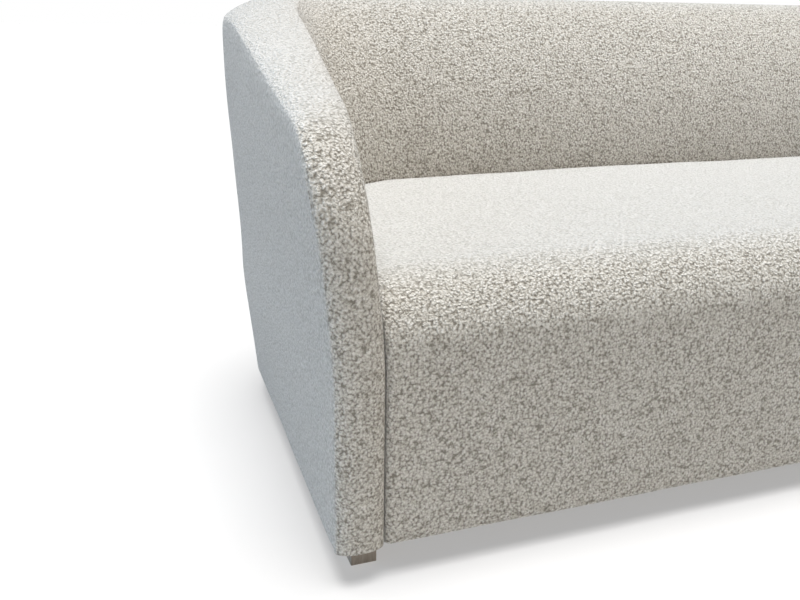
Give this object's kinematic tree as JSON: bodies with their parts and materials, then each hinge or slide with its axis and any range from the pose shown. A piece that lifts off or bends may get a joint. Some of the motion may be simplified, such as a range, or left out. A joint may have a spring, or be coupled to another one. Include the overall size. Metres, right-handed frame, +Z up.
{
  "type": "sofa with wooden legs",
  "caption": "Long low tub sofa with a tight seat, slim leaning arms that sweep up into a rolled back with rounded rear corners, and short square wooden legs.",
  "frame": {"origin": "on the floor under the middle of the sofa's bounding box", "axes": "+X along the sofa towards the end on a viewer's right as they face it, +Y from the front of the seat to the back, +Z up"},
  "size_m": [2.0926, 0.816, 0.778],
  "materials": {
    "boucle": "looped boucle upholstery fabric, ivory",
    "wadding": "polyester wadding",
    "foam": "open-cell polyurethane foam",
    "felt": "needled felt",
    "webbing": "woven elastic webbing",
    "cambric": "thin non-woven dust cover",
    "frame_wood": "unfinished plywood and sawn softwood",
    "leg_wood": "taupe stained timber, satin",
    "zinc_steel": "bright zinc plate",
    "glide": "moulded nylon"
  },
  "bodies": {
    "root": {"arm_band_left": "boucle", "arm_band_right": "boucle", "arm_foam_left": "foam", "arm_foam_right": "foam", "arm_front_post_left": "frame_wood", "arm_front_post_right": "frame_wood", "arm_inner_board_left": "frame_wood", "arm_inner_board_right": "frame_wood", "arm_padding_left": "wadding", "arm_padding_right": "wadding", "arm_rear_post_left": "frame_wood", "arm_rear_post_right": "frame_wood", "arm_side_panel_left": "frame_wood", "arm_side_panel_right": "frame_wood", "arm_top_rail_left": "frame_wood", "arm_top_rail_right": "frame_wood", "back_board": "frame_wood", "back_foam": "foam", "back_foot_rail": "frame_wood", "back_padding": "wadding", "back_ribs": "frame_wood", "back_top_band": "boucle", "back_top_rail": "frame_wood", "back_webbing": "webbing", "corner_foam_left": "foam", "corner_foam_right": "foam", "corner_formers_left": "frame_wood", "corner_formers_right": "frame_wood", "corner_panel_left": "frame_wood", "corner_panel_right": "frame_wood", "corner_plates": "frame_wood", "cross_straps": "webbing", "dust_cover": "cambric", "floor_glides": "glide", "frame_dowels": "frame_wood", "front_rail": "frame_wood", "inside_arm_cover_left": "boucle", "inside_arm_cover_right": "boucle", "inside_back_cover": "boucle", "leg_bolts": "zinc_steel", "leg_front_left": "leg_wood", "leg_front_right": "leg_wood", "leg_rear_left": "leg_wood", "leg_rear_right": "leg_wood", "outer_back_cover": "boucle", "outer_side_cover_left": "boucle", "outer_side_cover_right": "boucle", "rear_rail": "frame_wood", "seat_cover": "boucle", "seat_felt": "felt", "seat_foam": "foam", "seat_front_foam": "foam", "seat_straps": "webbing", "seat_stretcher_left": "frame_wood", "seat_stretcher_right": "frame_wood", "side_rail_left": "frame_wood", "side_rail_right": "frame_wood", "tee_nuts": "zinc_steel"}
  },
  "joints": []
}
